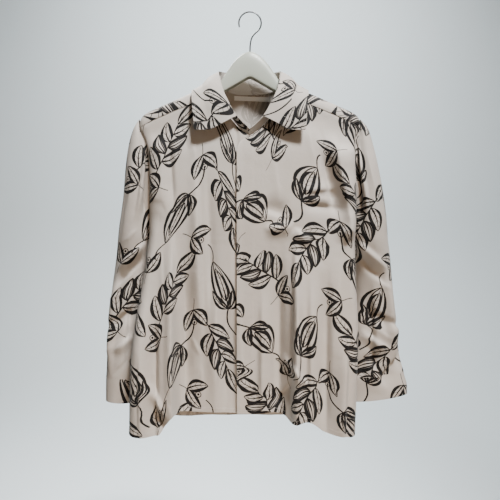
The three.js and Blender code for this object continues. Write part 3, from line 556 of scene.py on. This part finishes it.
class Flow:
    def __init__(self, tree, socket):
        self.tree = tree
        self.socket = socket

    def __add__(self, other):
        return reckon("ADD", self, other)

    def __sub__(self, other):
        return reckon("SUBTRACT", self, other)

    def __rsub__(self, other):
        return reckon("SUBTRACT", other, self)

    def __mul__(self, other):
        return reckon("MULTIPLY", self, other)

    def __truediv__(self, other):
        return reckon("DIVIDE", self, other)

    def size(self):
        return reckon("ABSOLUTE", self)


def feed(tree, socket, value):  # what another node gives, or a plain value
    value = value.socket if isinstance(value, Flow) else value
    if isinstance(value, bpy.types.NodeSocket):
        tree.links.new(value, socket)
    else:
        socket.default_value = value


def reckon(kind, *values, clamp=False):
    tree = next(value.tree for value in values if isinstance(value, Flow))
    node = tree.nodes.new("ShaderNodeMath")
    node.operation = kind
    node.use_clamp = clamp
    for place, value in enumerate(values):
        feed(tree, node.inputs[place], value)
    return Flow(tree, node.outputs[0])


def within(distance, half, soft=0.0005):  # 1 inside that half width, 0 outside, with a soft edge
    return reckon("MULTIPLY_ADD", half - distance, 1 / soft, 0.5, clamp=True)


def most(*flows):
    result = flows[0]
    for flow in flows[1:]:
        result = reckon("MAXIMUM", result, flow)
    return result


def turned(x, y, angle):
    cosine, sine = math.cos(angle), math.sin(angle)
    return x * cosine + y * sine, y * cosine - x * sine


# The print: a generic tossed repeat of ink sprigs, buds and leaf pairs, in metres of cloth
inkPrint = {
    "scale": 1.3, "repeatWide": 0.188, "repeatHigh": 0.236, "line": 0.0021, "veinPitch": 0.0088,
    "veinHalf": 0.0005,
}


def inkLeaf(x, y, length, half, lean, filled=True):  # a pointed leaf along y, inked on one side of its rib
    line = inkPrint["line"]
    along = reckon("DIVIDE", y, length, clamp=True)
    swell = along * (1 - along) * 4
    x = x - swell * lean
    away = x.size()
    edge = reckon("POWER", swell, 0.8) * (half * 1.2 - along * (half * 0.4))
    rim = within((away - edge).size(), swell * line + line * 0.25)
    rib = within(away, line * 0.75 - along * (line * 0.6))
    pitch = inkPrint["veinPitch"]
    vein = (reckon("FRACT", (y - away * 1.3) / pitch) - 0.5).size() * pitch
    inner = within(away, edge)
    inked = most(rim, rib)
    if filled:
        crescent = within((away - edge * 0.76).size(), edge * 0.17) * within(x * -1, 0)
        veins = within(vein, inkPrint["veinHalf"]) * within(away, edge * 0.6)
        inked = most(inked, crescent * inner, veins * inner)
    else:
        inked = most(inked, within((away - edge * 0.55).size(), line * 0.5) * inner)
    return inked * within((y - length / 2).size(), length / 2)


sprig = {
    "places": [(0.027, 0.027, 0.5), (0.121, 0.141, 2.4)],  # across, down, turn
    "middle": 0.06, "waves": 26, "wave": 0.006, "stem": 0.0011, "taper": 0.004, "stemMiddle": 0.045,
    "stemHalf": 0.046, "stagger": 0.006,
    "leaves": [(0.012, 0.040, True), (0.036, 0.036, False), (0.058, 0.030, True)],  # base, length, filled
    "leafTurn": -0.78, "leafHalf": 0.0085, "tipBase": 0.078, "tip": 0.042, "tipHalf": 0.0095, "lean": 0.003,
}


def inkSprig(x, y):  # leaves that alternate up a curved stem
    x = x + reckon("SINE", y * sprig["waves"]) * sprig["wave"]
    side = reckon("SIGN", x)
    away = x.size()
    inked = within(away, sprig["stem"] - y * sprig["taper"])
    inked = inked * within((y - sprig["stemMiddle"]).size(), sprig["stemHalf"])
    for base, length, filled in sprig["leaves"]:
        across, along = turned(away, y - side * sprig["stagger"] - base, sprig["leafTurn"])
        inked = most(inked, inkLeaf(across, along, length, sprig["leafHalf"], sprig["lean"], filled))
    return most(inked, inkLeaf(x, y - sprig["tipBase"], sprig["tip"], sprig["tipHalf"], sprig["lean"]))


def inkLine(x, y, root, waves, wave, half, middle, reach):  # a wavy line
    line = within((x - reckon("SINE", (y - root) * waves) * wave).size(), half)
    return line * within((y - middle).size(), reach)


bud = {  # a leaf is its length, half width and lean
    "places": [(0.116, 0.032, -0.6), (0.031, 0.150, 3.6)],
    "middle": 0.03, "outer": (0.068, 0.0185, 0.004), "inner": (0.046, 0.0085, 0.004), "innerBase": 0.012,
    "sepal": (0.034, 0.006, 0.005), "sepalTurn": -0.62,
    "curl": (0, 75, 0.008, 0.00147, -0.021, 0.021), "tip": (0.068, 110, 0.005, 0.00105, 0.081, 0.013),
}


def inkBud(x, y):  # a closed bud of nested petals on a curled stalk
    outer = inkLeaf(x, y, *bud["outer"], filled=False)
    inner = inkLeaf(x, y - bud["innerBase"], *bud["inner"])
    sepals = inkLeaf(*turned(x.size(), y, bud["sepalTurn"]), *bud["sepal"])
    return most(outer, inner, sepals, inkLine(x, y, *bud["curl"]), inkLine(x, y, *bud["tip"]))


pair = {
    "places": [(0.074, 0.082, 1.2), (0.170, 0.204, -1.9), (0.076, 0.204, 0.2), (0.166, 0.085, 2.9)],
    "middle": 0.015, "leaf": (0.036, 0.0075, 0.003), "turn": -0.55, "berryBase": 0.02, "berry": 0.0042,
    "rim": 0.0007, "heart": 0.0019, "stalk": (0, 90, 0.003, 0.0006, -0.008, 0.010),
}


def inkPair(x, y):  # two leaves and a berry
    leaves = inkLeaf(*turned(x.size(), y, pair["turn"]), *pair["leaf"])
    high = y - pair["berryBase"]
    berry = reckon("SQRT", x * x + high * high)
    berries = most(within((berry - pair["berry"]).size(), pair["rim"]), within(berry, pair["heart"]))
    return most(leaves, berries, inkLine(x, y, *pair["stalk"]))


def tossed(u, v, place, motif, middleY):  # once in each repeat, every second column dropped by half
    wide, high = inkPrint["repeatWide"], inkPrint["repeatHigh"]
    column = (u - place[0]) / wide + 0.5
    whole = reckon("FLOOR", column)
    x = (column - whole - 0.5) * wide
    drop = whole * 0.5
    y = (reckon("FRACT", (v - place[1]) / high + drop + 0.5) - 0.5) * high
    x, y = turned(x, y, place[2])
    return motif(x, y + middleY)


def makePrintGroup():
    group = bpy.data.node_groups.new("inkPrint", "ShaderNodeTree")
    group.interface.new_socket("cut", in_out="INPUT", socket_type="NodeSocketVector")
    group.interface.new_socket("ink", in_out="OUTPUT", socket_type="NodeSocketFloat")
    start = group.nodes.new("NodeGroupInput")
    end = group.nodes.new("NodeGroupOutput")
    split = group.nodes.new("ShaderNodeSeparateXYZ")
    group.links.new(start.outputs[0], split.inputs[0])
    u, v = (Flow(group, split.outputs[axis]) * (1 / inkPrint["scale"]) for axis in (0, 1))
    motifs = [tossed(u, v, place, motif, form["middle"])
              for motif, form in ((inkSprig, sprig), (inkBud, bud), (inkPair, pair))
              for place in form["places"]]
    group.links.new(most(*motifs).socket, end.inputs[0])
    return group


printGroup = makePrintGroup()


# Materials

def newMaterial(name, roughness, **shaderValues):
    material = bpy.data.materials.new(name)
    material.use_nodes = True
    shader = material.node_tree.nodes["Principled BSDF"]
    shader.inputs["Roughness"].default_value = roughness
    for socket, value in shaderValues.items():
        shader.inputs[socket.replace("_", " ")].default_value = value
    return material, material.node_tree, shader


def addNode(tree, kind, inputs=None, **settings):
    node = tree.nodes.new(kind)
    for name, value in settings.items():
        setattr(node, name, value)
    for name, value in (inputs or {}).items():
        feed(tree, node.inputs[name], value)
    return node


def mixColour(tree, factor, first, second):
    node = tree.nodes.new("ShaderNodeMix")
    node.data_type = "RGBA"
    for place, value in ((0, factor), (6, first), (7, second)):
        feed(tree, node.inputs[place], value)
    return node.outputs[2]


def placeIn(tree):  # where a point is on its own piece
    return addNode(tree, "ShaderNodeTexCoord").outputs["Object"]


def noise(tree, where, scale, detail, roughness=0.5, distortion=0):
    return addNode(tree, "ShaderNodeTexNoise", {
        "Vector": where, "Scale": scale, "Detail": detail,
        "Roughness": roughness, "Distortion": distortion})


def paint(tree, shader, pattern, first, second):  # two colours, mixed by a pattern
    tree.links.new(mixColour(tree, pattern, (*first, 1), (*second, 1)), shader.inputs["Base Color"])


def emboss(tree, shader, height, strength, distance):
    bump = addNode(tree, "ShaderNodeBump", {"Height": height, "Strength": strength, "Distance": distance})
    tree.links.new(bump.outputs[0], shader.inputs["Normal"])
    return bump


def roughen(tree, shader, pattern, low, rise):
    feed(tree, shader.inputs["Roughness"], reckon("MULTIPLY_ADD", Flow(tree, pattern), rise, low))


clothLook = {
    "warm": (0.41, 0.352, 0.298, 1), "cool": (0.44, 0.408, 0.372, 1), "ink": (0.005, 0.0045, 0.0045, 1),
    "slub": (0.28, 0.25, 0.22, 1), "slubStrength": 0.16, "roughness": 0.6, "sheen": 0.04,
    "sheenRoughness": 0.45, "specular": 0.08, "weavePitch": 0.0006, "inkShake": 0.0012, "inside": 0.3,
    "toneScale": 6, "slubScale": 900, "shakeScale": 160, "softScale": 34, "weaveBump": (0.12, 0.0002),
    "softBump": (0.35, 0.004),
}


def makeClothMaterial(name, inkStrength):
    look = clothLook
    material, tree, shader = newMaterial(
        name, look["roughness"], Sheen_Weight=look["sheen"],
        Sheen_Roughness=look["sheenRoughness"], Specular_IOR_Level=look["specular"])
    cut = addNode(tree, "ShaderNodeUVMap", uv_map="cut").outputs[0]
    place = placeIn(tree)
    tone = noise(tree, place, look["toneScale"], 3).outputs[0]
    slub = noise(tree, cut, look["slubScale"], 2).outputs[0]
    cloth = mixColour(tree, tone, look["warm"], look["cool"])
    cloth = mixColour(tree, Flow(tree, slub) * look["slubStrength"], cloth, look["slub"])
    shake = (look["inkShake"], look["inkShake"], 0)
    shaken = addNode(tree, "ShaderNodeVectorMath", {
        0: noise(tree, cut, look["shakeScale"], 2).outputs[1], 1: shake, 2: cut},
        operation="MULTIPLY_ADD")
    printed = tree.nodes.new("ShaderNodeGroup")
    printed.node_tree = printGroup
    tree.links.new(shaken.outputs[0], printed.inputs[0])
    ink = Flow(tree, printed.outputs[0])
    patchy = reckon("MULTIPLY_ADD", Flow(tree, slub), -0.12, 1.05, clamp=True)
    cloth = mixColour(tree, ink * patchy * inkStrength, cloth, look["ink"])
    feed(tree, shader.inputs["Base Color"], cloth)
    split = addNode(tree, "ShaderNodeSeparateXYZ", {"Vector": cut})
    thread = 2 * math.pi / look["weavePitch"]
    warp, weft = (reckon("SINE", Flow(tree, split.outputs[axis]) * thread) for axis in (0, 1))
    weave = warp * weft
    soft = noise(tree, place, look["softScale"], 4, roughness=0.55).outputs[0]
    fine = emboss(tree, shader, weave, *look["weaveBump"])
    bump = emboss(tree, shader, soft, *look["softBump"])
    tree.links.new(fine.outputs[0], bump.inputs["Normal"])
    return material


clothOut = makeClothMaterial("printedCloth", 1.0)
clothIn = makeClothMaterial("printedClothInside", clothLook["inside"])


def makeThread():
    material, tree, shader = newMaterial("sewingThread", 0.55, Sheen_Weight=0.2)
    place = placeIn(tree)
    twist = addNode(tree, "ShaderNodeTexWave", {"Vector": place, "Scale": 900, "Distortion": 1},
                    bands_direction="DIAGONAL").outputs[1]
    paint(tree, shader, twist, (0.38, 0.35, 0.31), (0.46, 0.43, 0.40))
    emboss(tree, shader, twist, 0.3, 0.0001)
    return material


threadLook = makeThread()
print("materials made")


# Stitches: each one is a small drawn-in loop of thread that lies on the cloth
stitch = {
    "pitch": 2.8, "length": 2.0, "radius": 0.22, "sides": 5, "sink": 0.35, "steps": 600, "shortSteps": 200,
    "rings": [(-0.5, 0.25), (-0.3, 0.95), (0, 1.1), (0.3, 0.95), (0.5, 0.25)],  # place and width along it
}


def sewLine(pointAt, i, j, lift):  # places and directions of the stitches along a line of a sheet
    points, normals = surfaceAt(pointAt, i, j)
    reach = cutLengths(points, 0)
    count = max(2, int(reach[-1] / stitch["pitch"]))
    at = (np.arange(count) + 0.5) * reach[-1] / count

    def readAt(where, values):
        return np.stack([np.interp(where, reach, values[:, k]) for k in range(3)], -1)

    normal = readAt(at, normals)
    along = unit(readAt(at + 0.5, points) - readAt(at - 0.5, points))
    return readAt(at, points) + normal * lift, along, normal


def closeEnds(sides):
    bpy.ops.mesh.select_all(action="SELECT")
    bpy.ops.mesh.fill_holes(sides=sides)
    bpy.ops.mesh.normals_make_consistent(inside=False)
    bpy.ops.object.mode_set(mode="OBJECT")


def makeStitches(name, seams):  # seams: (pointAt, i, j, lift towards the outside)
    rings = stitch["rings"]
    sides = stitch["sides"]
    angle = np.arange(sides) / sides * 2 * math.pi
    grid = [(k * sides + s, k * sides + (s + 1) % sides)
            for k in range(len(rings) - 1) for s in range(sides)]
    one = np.array([(a, b, b + sides, a + sides) for a, b in grid])
    vertices, faces = [], []
    start = 0
    for pointAt, i, j, lift in seams:
        middle, along, normal = sewLine(pointAt, i, j, lift)
        across = np.cross(along, normal)
        up = np.cross(across, along)
        rows = []
        for place, wide in rings:
            ringMiddle = middle + along * (place * stitch["length"]) - up * (stitch["sink"] * abs(place))
            ring = (across[:, None] * np.cos(angle)[:, None] + up[:, None] * np.sin(angle)[:, None])
            rows.append(ringMiddle[:, None] + ring * (wide * stitch["radius"]))
        block = np.stack(rows, 1).reshape(len(middle), -1, 3)
        vertices.append(block.reshape(-1, 3))
        offsets = start + np.arange(len(middle))[:, None, None] * (len(rings) * sides)
        faces.append((one[None] + offsets).reshape(-1, 4))
        start += len(middle) * len(rings) * sides
    vertices = np.concatenate(vertices)
    faces = np.concatenate(faces)
    piece = makeMesh(name, vertices, faces, vertices[:, :2] * mm, [threadLook], np.zeros(len(faces)))
    bpy.ops.object.mode_set(mode="EDIT")
    closeEnds(sides)
    return piece


# Sewing the shirt together

def sew(name, node, pointAt, counts, middle=(0, 0, 0), cutFrom=(0, 0),
        thick=body["cloth"], finishes=(clothOut, clothIn)):
    lines = (sheetLines(counts[0]), sheetLines(*counts[1:]))
    piece = makeCloth(name, pointAt, lines, middle, finishes, cutFrom, thick)
    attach(piece, "root")
    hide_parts(node)


hems = {"share": 0.0148, "turn": 0.12, "edgeTurn": 0.08, "extra": 0.75}  # shares of a panel, and of a hem


def hemThick(edgeShare=0):  # double cloth along the hem, and along a folded edge
    def thickAt(i, j):
        hemmed = smooth((j - 1 + hems["share"]) / (hems["share"] * hems["turn"]))
        folded = smooth((edgeShare - i) / (edgeShare * hems["edgeTurn"])) if edgeShare else 0
        return body["cloth"] * (1 + hems["extra"] * np.maximum(hemmed, folded))
    return thickAt


hemLines = (0.9835, 0.9852, 0.987)
arms = {"left": (1, rightSleeve, rightCuff), "right": (-1, leftSleeve, leftCuff)}  # the wearer's
frontLeftAt = partial(frontPoint, 1, -body["lapOver"])
frontRightAt = partial(frontPoint, -1, -body["lapUnder"])

sew("frontLeft", "front_left", frontLeftAt, (120, 180, hemLines),
    cutFrom=(0.03, 0.02), thick=hemThick(0.13))
sew("frontRight", "front_right", frontRightAt, (120, 180, hemLines),
    cutFrom=(0.11, 0.13), thick=hemThick(0.1))
sew("backPanel", "back", backPoint, (190, 150, hemLines),
    cutFrom=(0.05, 0.06), thick=hemThick())
sew("yokePanel", "yoke", yokePoint, (150, 60),
    middle=(0, 0, -400), cutFrom=(0.02, 0.17))
print("fronts, back and yoke made")

for hand, (side, table, cuff) in arms.items():
    sew("sleeve" + hand, "sleeve_" + hand, partial(sleevePoint, side, table), (120, 150),
        middle=None, cutFrom=(0.07 + 0.05 * side, 0.04 + 0.06 * side))
for hand, (side, table, cuff) in arms.items():
    sew("cuff" + hand, "cuff_" + hand, partial(cuffPoint, side, table, cuff), (110, 16),
        middle=None, cutFrom=(0.12, 0.19 + 0.03 * side), thick=collar["cloth"])
print("sleeves and cuffs made")

sew("collarStand", "collar_stand", standPoint, (140, 10),
    thick=collar["cloth"])
sew("collarFall", "collar", fallPoint, (160, 30),
    cutFrom=(0.05, 0.09), thick=collar["cloth"])


def makeTape():
    material, tree, shader = newMaterial("neckTape", 0.6, Sheen_Weight=0.3)
    cut = addNode(tree, "ShaderNodeUVMap", uv_map="cut").outputs[0]
    ribs = addNode(tree, "ShaderNodeTexWave", {"Vector": cut, "Scale": 400}, bands_direction="Y").outputs[1]
    paint(tree, shader, ribs, (0.74, 0.74, 0.73), (0.84, 0.84, 0.83))
    emboss(tree, shader, ribs, 0.3, 0.0002)
    return material


tape = makeTape()
sew("neckLabel", "neck_label", labelPoint, (30, 6), middle=(0, 60, 0),
    thick=tapeSize["cloth"], finishes=(tape, tape))
print("collar and label made")


def sewAcross(pointAt, low, lift, start=0, end=1):
    return pointAt, np.linspace(start, end, stitch["steps"]), np.full(stitch["steps"], low), lift


def sewDown(pointAt, across, lift, start, end):
    count = stitch["shortSteps"]
    return pointAt, np.full(count, across), np.linspace(start, end, count), lift


seams = [
    sewAcross(frontLeftAt, 0.9862, -0.9), sewAcross(frontRightAt, 0.9862, 0.9),
    sewAcross(backPoint, 0.984, 0.9), sewAcross(backPoint, 0.006, 0.55), sewAcross(yokePoint, 0.985, 0.55),
    sewAcross(fallPoint, 0.93, 0.7, 0.045, 0.955),
    sewDown(fallPoint, 0.043, 0.7, 0.3, 0.93), sewDown(fallPoint, 0.957, 0.7, 0.3, 0.93),
]
stitches = makeStitches("stitches", seams)
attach(stitches, "root")
print("stitches sewn")


# Hanger and hook

def makeHangerLook():
    material, tree, shader = newMaterial("mouldedPlastic", 0.42, Coat_Weight=0.1, Coat_Roughness=0.3)
    place = placeIn(tree)
    scuffs = noise(tree, place, 220, 3, distortion=1.5).outputs[0]
    paint(tree, shader, noise(tree, place, 14, 4).outputs[0], (0.33, 0.35, 0.29), (0.38, 0.39, 0.33))
    roughen(tree, shader, scuffs, 0.3, 0.25)
    emboss(tree, shader, scuffs, 0.08, 0.0004)
    return material


def makeWireLook():
    material, tree, shader = newMaterial("hookWire", 0.35, Metallic=0.9)
    place = placeIn(tree)
    dull = noise(tree, place, 120, 4).outputs[0]
    paint(tree, shader, dull, (0.10, 0.10, 0.105), (0.20, 0.20, 0.205))
    roughen(tree, shader, dull, 0.2, 0.3)
    return material


hangerSizes = {
    "out": [0, 10, 20, 30, 40, 50, 58, 66, 90, 120, 150, 180, 200, 208],
    "top": [78, 80.5, 87, 96, 109, 124, 137, 147.6, 157, 170.2, 183.6, 197.2, 207.4, 214],
    "bottom": [133, 138.8, 144.6, 150.3, 156, 162, 166.5, 171, 184, 198, 210, 222, 230, 232],
    "half": [9, 9, 9, 9, 9, 9.5, 9.5, 9.5, 11, 12.5, 14, 14.5, 12.5, 9],
    "sectionAcross": [0, 0.5, 0.83, 0.97, 1, 0.98, 0.88, 0.4],  # shares of its half depth and height
    "sectionUp": [1, 0.93, 0.77, 0.52, 0.2, 0.05, 0, 0],
}


def modelHanger():
    size = hangerSizes
    places = [(-out, k) for k, out in reversed(list(enumerate(size["out"]))) if out]
    places += [(out, k) for k, out in enumerate(size["out"])]
    section = list(zip(size["sectionAcross"], size["sectionUp"]))
    section += [(-across, up) for across, up in section[:0:-1]]
    bpy.ops.object.select_all(action="DESELECT")
    bpy.ops.mesh.primitive_circle_add(vertices=len(section), radius=0.01)
    piece = bpy.context.object
    x, k = places[0]
    for vertex, (across, up) in zip(piece.data.vertices, section):
        z = blend(-size["bottom"][k], -size["top"][k], up)
        vertex.co = Vector((x, across * size["half"][k], z)) * mm
    bpy.ops.object.mode_set(mode="EDIT")
    bpy.ops.mesh.select_all(action="SELECT")
    for (fromX, last), (toX, now) in zip(places, places[1:]):
        shift = (toX - fromX, 0, size["bottom"][last] - size["bottom"][now])
        shift = tuple(mm * step for step in shift)
        bpy.ops.mesh.extrude_region_move(TRANSFORM_OT_translate={"value": shift})
        deeper = size["half"][now] / size["half"][last]
        taller = (size["bottom"][now] - size["top"][now]) / (size["bottom"][last] - size["top"][last])
        foot = (toX * mm, 0, -size["bottom"][now] * mm)
        bpy.ops.transform.resize(value=(1, deeper, taller), center_override=foot)
    closeEnds(0)
    rounded = piece.modifiers.new("rounded", "SUBSURF")
    rounded.levels = rounded.render_levels = 2
    bpy.ops.object.modifier_apply(modifier="rounded")
    bpy.ops.object.shade_smooth_by_angle(angle=math.radians(60))
    finishPiece(piece, "hangerBody", "hanger", makeHangerLook())


def finishPiece(piece, name, node, finish):
    bpy.ops.object.transform_apply(location=True, rotation=True, scale=True)
    piece.name = piece.data.name = name
    piece.data.materials.clear()
    piece.data.materials.append(finish)
    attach(piece, "root")
    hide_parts(node)


hook = {
    "wire": 1.6, "radius": 23, "foot": -77.7, "sunk": 3, "joinAngle": -0.9, "endAngle": 3.5,
    "straight": 29, "lead": 12, "arcSteps": 28, "stemSteps": 14,
}


def modelHook():
    up = Vector((0, 0, 1))
    centreZ = hook["wire"] - hook["radius"]
    turns = np.linspace(hook["joinAngle"], hook["endAngle"], hook["arcSteps"])
    arc = [Vector((hook["radius"] * math.cos(a), 0, centreZ + hook["radius"] * math.sin(a))) for a in turns]
    ahead = Vector((-math.sin(hook["joinAngle"]), 0, math.cos(hook["joinAngle"])))
    foot = Vector((0, 0, hook["foot"] - hook["sunk"]))
    handles = (foot, foot + up * hook["straight"], arc[0] - ahead * hook["lead"], arc[0])
    stem = []
    for t in np.linspace(0, 1, hook["stemSteps"])[:-1]:
        weights = ((1 - t) ** 3, 3 * t * (1 - t) ** 2, 3 * t * t * (1 - t), t ** 3)
        stem.append(sum((handle * weight for handle, weight in zip(handles, weights)), Vector()))
    bpy.ops.object.select_all(action="DESELECT")
    bpy.ops.curve.primitive_nurbs_path_add(radius=0.01)
    wire = bpy.context.object
    wire.data.splines.clear()
    line = wire.data.splines.new("POLY")
    line.points.add(len(stem + arc) - 1)
    for point, place in zip(line.points, stem + arc):
        point.co = (*(place * mm), 1)
    wire.data.bevel_depth = hook["wire"] * mm
    wire.data.bevel_resolution = 5
    wire.data.use_fill_caps = True
    bpy.ops.object.convert(target="MESH")
    piece = bpy.context.object
    bpy.ops.object.shade_smooth_by_angle(angle=math.radians(50))
    finishPiece(piece, "hookWire", "hanger_hook", makeWireLook())


modelHanger()
modelHook()
print("hanger modelled")


# Floor and lights
studio = {
    "floor": -1.45, "near": -4.0, "wallDepth": 3.0, "wallTop": 5.0, "bend": 1.2, "bendSteps": 16, "half": 6,
    "colour": (0.76, 0.81, 0.82, 1), "sky": (1.0, 0.84, 0.69, 1), "skyStrength": 0.07,
}


def makeStudio():
    profile = [(studio["near"], studio["floor"])]
    for k in range(studio["bendSteps"] + 1):
        angle = math.pi / 2 * k / studio["bendSteps"]
        profile.append((studio["wallDepth"] - studio["bend"] + studio["bend"] * math.sin(angle),
                        studio["floor"] + studio["bend"] * (1 - math.cos(angle))))
    profile.append((studio["wallDepth"], studio["wallTop"]))
    vertices = [(x, y, z) for y, z in profile for x in (-studio["half"], studio["half"])]
    faces = [(2 * k, 2 * k + 1, 2 * k + 3, 2 * k + 2) for k in range(len(profile) - 1)]
    mesh = bpy.data.meshes.new("floor")
    mesh.from_pydata(vertices, [], faces)
    for polygon in mesh.polygons:
        polygon.use_smooth = True
    floor = bpy.data.objects.new("floor", mesh)
    bpy.context.scene.collection.objects.link(floor)
    material, tree, shader = newMaterial("paleFloor", 0.9)
    shader.inputs["Base Color"].default_value = studio["colour"]
    mesh.materials.append(material)


makeStudio()
lights = {  # where it is, what it aims at, size, spread in degrees, power, colour
    "key": ((0.9, -1.9, 2.8), (0, 0, -0.42), 0.7, 32, 17, (0.96, 0.98, 1.0)),
    "fill": ((0.6, -2.4, -1.0), (0, 0, -0.85), 0.9, 36, 1.9, (1.0, 0.68, 0.42)),
    "behind": ((-1.2, 2.2, 2.3), (0, 0, -0.5), 0.8, 34, 7, (1.0, 0.97, 0.93)),
    "backdrop": ((0, 0.9, 2.4), (0, 3, -0.6), 2.5, 110, 110, (0.92, 0.97, 1.0)),
}
for name, (at, aim, size, spread, power, colour) in lights.items():
    data = bpy.data.lights.new(name, "AREA")
    data.size, data.energy, data.color, data.spread = size, power, colour, math.radians(spread)
    lamp = bpy.data.objects.new(name, data)
    lamp.location = at
    lamp.rotation_euler = (Vector(aim) - lamp.location).to_track_quat("-Z", "Y").to_euler()
    bpy.context.scene.collection.objects.link(lamp)
world = bpy.data.worlds.new("studio")
world.use_nodes = True
sky = world.node_tree.nodes["Background"]
sky.inputs[0].default_value = studio["sky"]
sky.inputs[1].default_value = studio["skyStrength"]
bpy.context.scene.world = world
print("studio set")
